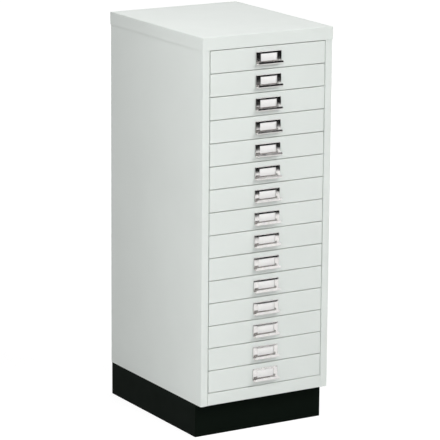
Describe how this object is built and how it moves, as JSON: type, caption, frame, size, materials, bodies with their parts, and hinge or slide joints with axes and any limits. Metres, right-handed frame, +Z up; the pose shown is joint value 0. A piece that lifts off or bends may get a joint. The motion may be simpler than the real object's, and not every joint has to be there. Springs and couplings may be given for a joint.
{
  "type": "multi-drawer cabinet",
  "caption": "Floor-standing steel cabinet with a column of shallow flush drawers, plated card-holder pulls with a finger scoop, and a black set-back plinth.",
  "frame": {"origin": "on the floor, in the middle of the whole object's outline, pulls included", "axes": "+Z up, +X to the right of someone facing the drawers, -Y out of the drawers' fronts"},
  "size_m": [0.349, 0.4424, 0.94],
  "materials": {
    "cabinet_paint": "semi-gloss light grey powder coat",
    "drawer_paint": "semi-gloss light grey powder coat",
    "plinth_paint": "satin black powder coat",
    "nickel_plate": "bright nickel plate",
    "zinc_plate": "zinc plated",
    "runner_nylon": "natural nylon strip",
    "card_stock": "blank white card"
  },
  "bodies": {
    "cabinet": {"top_cover": "cabinet_paint", "side_panel_left": "cabinet_paint", "side_panel_right": "cabinet_paint", "back_panel": "cabinet_paint", "base_tray": "cabinet_paint", "runner_liner_left": "cabinet_paint", "runner_liner_right": "cabinet_paint", "runner_strips_left": "runner_nylon", "runner_strips_right": "runner_nylon", "open_stops_left": "zinc_plate", "open_stops_right": "zinc_plate", "plinth": "plinth_paint", "plinth_bolts": "zinc_plate"},
    "drawer_unit_01": {"drawer_01": "drawer_paint", "handle_01": "nickel_plate", "card_01": "card_stock"},
    "drawer_unit_02": {"drawer_02": "drawer_paint", "handle_02": "nickel_plate", "card_02": "card_stock"},
    "drawer_unit_03": {"drawer_03": "drawer_paint", "handle_03": "nickel_plate", "card_03": "card_stock"},
    "drawer_unit_04": {"drawer_04": "drawer_paint", "handle_04": "nickel_plate", "card_04": "card_stock"},
    "drawer_unit_05": {"drawer_05": "drawer_paint", "handle_05": "nickel_plate", "card_05": "card_stock"},
    "drawer_unit_06": {"drawer_06": "drawer_paint", "handle_06": "nickel_plate", "card_06": "card_stock"},
    "drawer_unit_07": {"drawer_07": "drawer_paint", "handle_07": "nickel_plate", "card_07": "card_stock"},
    "drawer_unit_08": {"drawer_08": "drawer_paint", "handle_08": "nickel_plate", "card_08": "card_stock"},
    "drawer_unit_09": {"drawer_09": "drawer_paint", "handle_09": "nickel_plate", "card_09": "card_stock"},
    "drawer_unit_10": {"drawer_10": "drawer_paint", "handle_10": "nickel_plate", "card_10": "card_stock"},
    "drawer_unit_11": {"drawer_11": "drawer_paint", "handle_11": "nickel_plate", "card_11": "card_stock"},
    "drawer_unit_12": {"drawer_12": "drawer_paint", "handle_12": "nickel_plate", "card_12": "card_stock"},
    "drawer_unit_13": {"drawer_13": "drawer_paint", "handle_13": "nickel_plate", "card_13": "card_stock"},
    "drawer_unit_14": {"drawer_14": "drawer_paint", "handle_14": "nickel_plate", "card_14": "card_stock"},
    "drawer_unit_15": {"drawer_15": "drawer_paint", "handle_15": "nickel_plate", "card_15": "card_stock"}
  },
  "joints": [
    {"name": "drawer_slide_01", "type": "slide", "parent": "cabinet", "child": "drawer_unit_01", "axis": [0, -1, 0], "range_m": [0, 0.3]},
    {"name": "drawer_slide_02", "type": "slide", "parent": "cabinet", "child": "drawer_unit_02", "axis": [0, -1, 0], "range_m": [0, 0.3]},
    {"name": "drawer_slide_03", "type": "slide", "parent": "cabinet", "child": "drawer_unit_03", "axis": [0, -1, 0], "range_m": [0, 0.3]},
    {"name": "drawer_slide_04", "type": "slide", "parent": "cabinet", "child": "drawer_unit_04", "axis": [0, -1, 0], "range_m": [0, 0.3]},
    {"name": "drawer_slide_05", "type": "slide", "parent": "cabinet", "child": "drawer_unit_05", "axis": [0, -1, 0], "range_m": [0, 0.3]},
    {"name": "drawer_slide_06", "type": "slide", "parent": "cabinet", "child": "drawer_unit_06", "axis": [0, -1, 0], "range_m": [0, 0.3]},
    {"name": "drawer_slide_07", "type": "slide", "parent": "cabinet", "child": "drawer_unit_07", "axis": [0, -1, 0], "range_m": [0, 0.3]},
    {"name": "drawer_slide_08", "type": "slide", "parent": "cabinet", "child": "drawer_unit_08", "axis": [0, -1, 0], "range_m": [0, 0.3]},
    {"name": "drawer_slide_09", "type": "slide", "parent": "cabinet", "child": "drawer_unit_09", "axis": [0, -1, 0], "range_m": [0, 0.3]},
    {"name": "drawer_slide_10", "type": "slide", "parent": "cabinet", "child": "drawer_unit_10", "axis": [0, -1, 0], "range_m": [0, 0.3]},
    {"name": "drawer_slide_11", "type": "slide", "parent": "cabinet", "child": "drawer_unit_11", "axis": [0, -1, 0], "range_m": [0, 0.3]},
    {"name": "drawer_slide_12", "type": "slide", "parent": "cabinet", "child": "drawer_unit_12", "axis": [0, -1, 0], "range_m": [0, 0.3]},
    {"name": "drawer_slide_13", "type": "slide", "parent": "cabinet", "child": "drawer_unit_13", "axis": [0, -1, 0], "range_m": [0, 0.3]},
    {"name": "drawer_slide_14", "type": "slide", "parent": "cabinet", "child": "drawer_unit_14", "axis": [0, -1, 0], "range_m": [0, 0.3]},
    {"name": "drawer_slide_15", "type": "slide", "parent": "cabinet", "child": "drawer_unit_15", "axis": [0, -1, 0], "range_m": [0, 0.3]}
  ]
}
